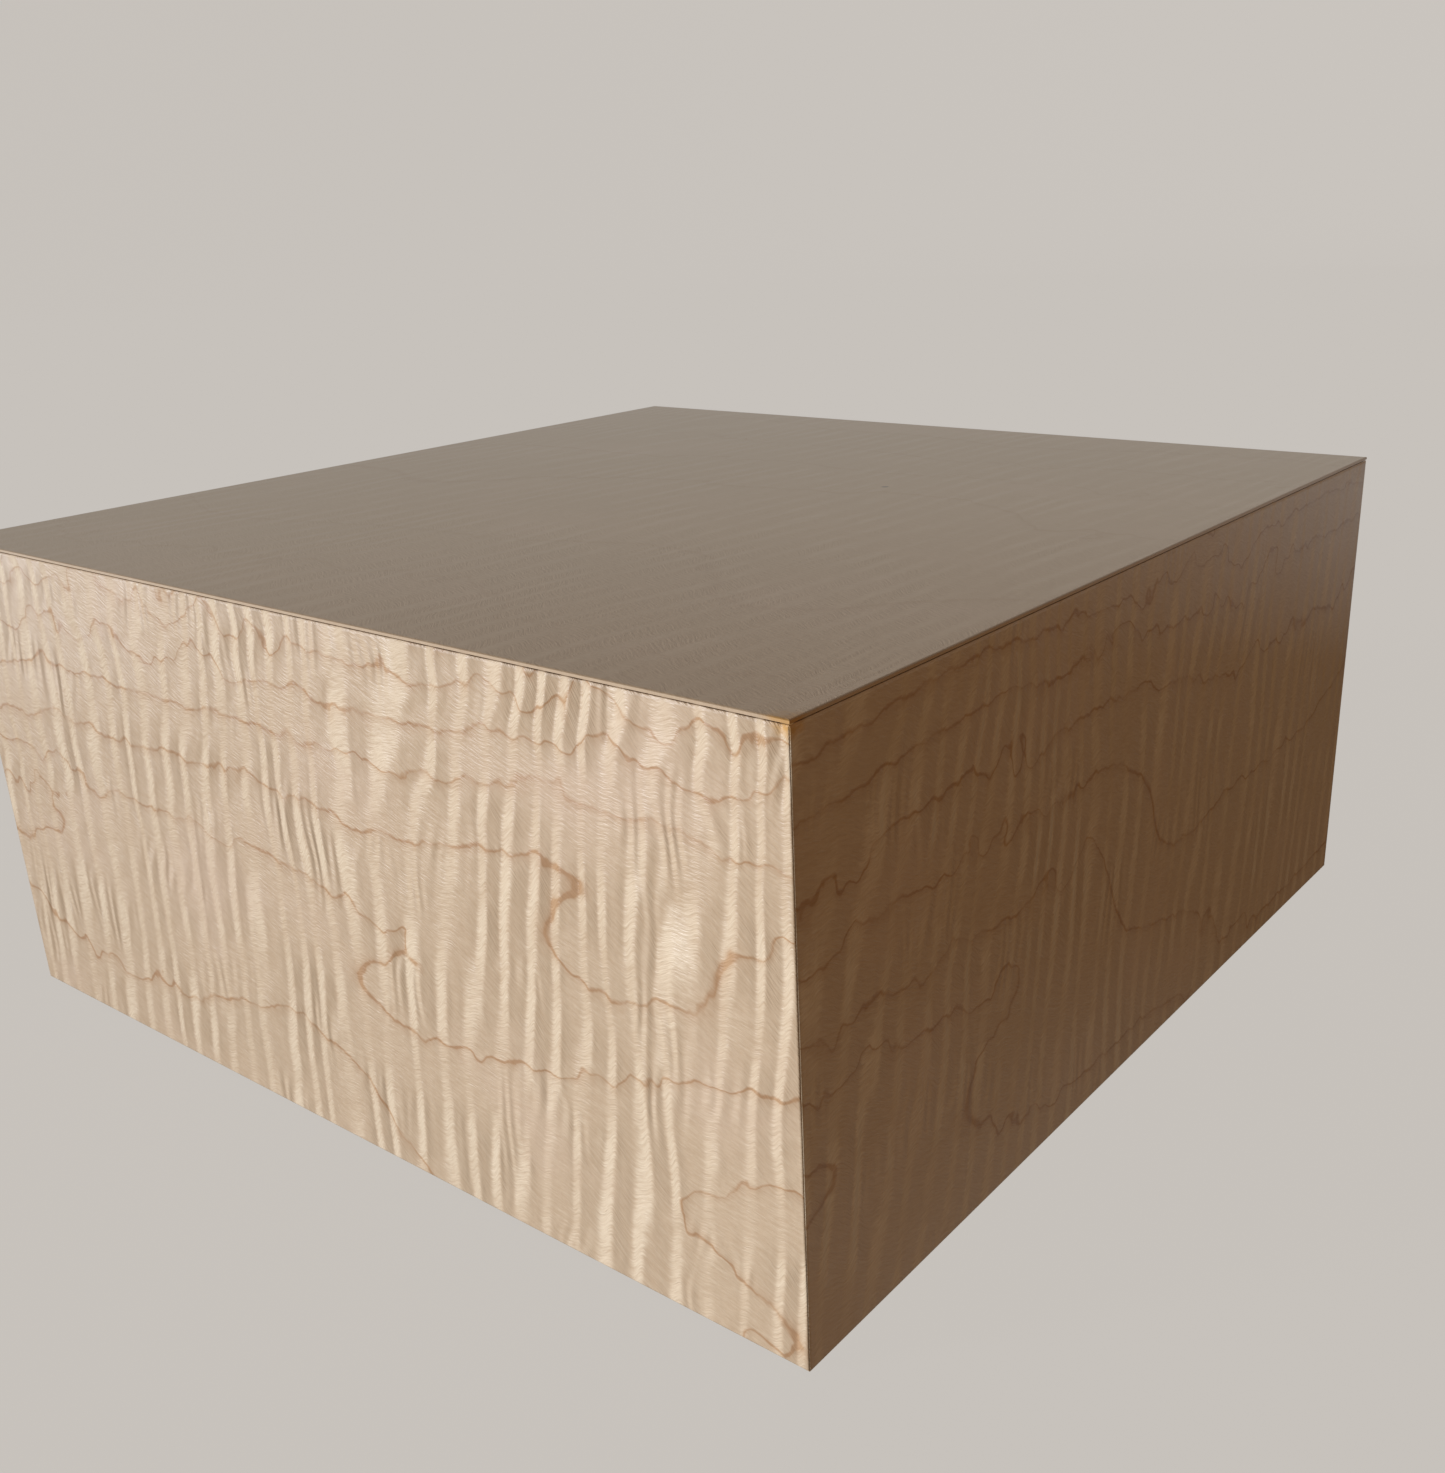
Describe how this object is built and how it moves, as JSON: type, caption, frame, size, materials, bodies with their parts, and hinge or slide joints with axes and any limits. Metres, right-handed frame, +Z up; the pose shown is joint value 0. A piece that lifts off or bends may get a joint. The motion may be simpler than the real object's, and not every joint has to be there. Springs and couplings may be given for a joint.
{
  "type": "puzzle box",
  "caption": "Square wooden puzzle box in figured maple veneer: mitred side panels shift round like a pinwheel, a hidden dial frees them, and the lid lifts off.",
  "frame": {"origin": "middle of the underside", "axes": "+Z up through the lid; the front panel, whose slide leads the others, faces -Y; the right panel faces +X"},
  "size_m": [0.2032, 0.2032, 0.0953],
  "materials": {
    "figured_maple": "high-gloss clear coat over curly maple veneer",
    "core_wood": "sanded panel core",
    "carcass_wood": "planed, unfinished",
    "lining_wood": "satin",
    "hard_wood": "waxed",
    "brass": "satin",
    "spring_bronze": "satin",
    "steel": "ground",
    "magnet": "nickel plated"
  },
  "bodies": {
    "carcass": {"base_core": "core_wood", "base_veneer": "figured_maple", "dial_stop_pins": "steel", "false_floor": "lining_wood", "corner_blocks": "carcass_wood", "lining_spacers": "carcass_wood", "carcass_magnets": "magnet", "leaf_screws": "brass", "lock_spring": "spring_bronze", "lock_spring_screws": "brass", "front_carcass_board": "carcass_wood", "front_lining": "lining_wood", "front_leaf_catch": "spring_bronze", "right_carcass_board": "carcass_wood", "right_lining": "lining_wood", "right_leaf_catch": "spring_bronze", "back_carcass_board": "carcass_wood", "back_lining": "lining_wood", "back_leaf_catch": "spring_bronze", "left_carcass_board": "carcass_wood", "left_lining": "lining_wood", "left_leaf_catch": "spring_bronze"},
    "front_panel": {"front_panel_core": "core_wood", "front_panel_veneer": "figured_maple", "front_runners": "hard_wood", "front_runner_screws": "brass", "front_release_peg": "steel", "front_panel_magnets": "magnet"},
    "right_panel": {"right_panel_core": "core_wood", "right_panel_veneer": "figured_maple", "right_runners": "hard_wood", "right_runner_screws": "brass", "right_release_peg": "steel", "right_panel_magnets": "magnet"},
    "back_panel": {"back_panel_core": "core_wood", "back_panel_veneer": "figured_maple", "back_runners": "hard_wood", "back_runner_screws": "brass", "back_release_peg": "steel", "back_panel_magnets": "magnet"},
    "left_panel": {"left_panel_core": "core_wood", "left_panel_veneer": "figured_maple", "left_runners": "hard_wood", "left_runner_screws": "brass", "left_release_peg": "steel", "left_panel_magnets": "magnet"},
    "lid": {"lid_core": "core_wood", "lid_veneer": "figured_maple", "lid_keepers": "brass", "lid_keeper_screws": "brass", "front_lid_cleat": "hard_wood", "right_lid_cleat": "hard_wood", "back_lid_cleat": "hard_wood", "left_lid_cleat": "hard_wood"},
    "dial": {"dial_disc": "core_wood", "dial_veneer": "figured_maple", "dial_washer": "brass", "dial_arm": "hard_wood", "dial_arm_screw": "brass"}
  },
  "joints": [
    {"name": "front_panel_shift", "type": "slide", "parent": "carcass", "child": "front_panel", "axis": [1, 0, 0], "range_m": [0, 0.012], "deforming": ["front_leaf_catch"]},
    {"name": "right_panel_shift", "type": "slide", "parent": "carcass", "child": "right_panel", "axis": [0, 1, 0], "range_m": [0, 0.012], "deforming": ["right_leaf_catch"]},
    {"name": "back_panel_shift", "type": "slide", "parent": "carcass", "child": "back_panel", "axis": [-1, 0, 0], "range_m": [0, 0.012], "deforming": ["back_leaf_catch"]},
    {"name": "left_panel_shift", "type": "slide", "parent": "carcass", "child": "left_panel", "axis": [0, -1, 0], "range_m": [0, 0.012], "deforming": ["left_leaf_catch"]},
    {"name": "lid_lift", "type": "slide", "parent": "carcass", "child": "lid", "axis": [0, 0, 1], "range_m": [0, 0.06]},
    {"name": "dial_turn", "type": "hinge", "parent": "carcass", "child": "dial", "pos_m": [0, 0, 0.004], "axis": [0, 0, 1], "range_deg": [0, 90], "deforming": ["lock_spring"]}
  ],
  "couplings": [
    {"joint": "right_panel_shift", "follows": "front_panel_shift", "ratio": 1},
    {"joint": "back_panel_shift", "follows": "front_panel_shift", "ratio": 1},
    {"joint": "left_panel_shift", "follows": "front_panel_shift", "ratio": 1}
  ]
}
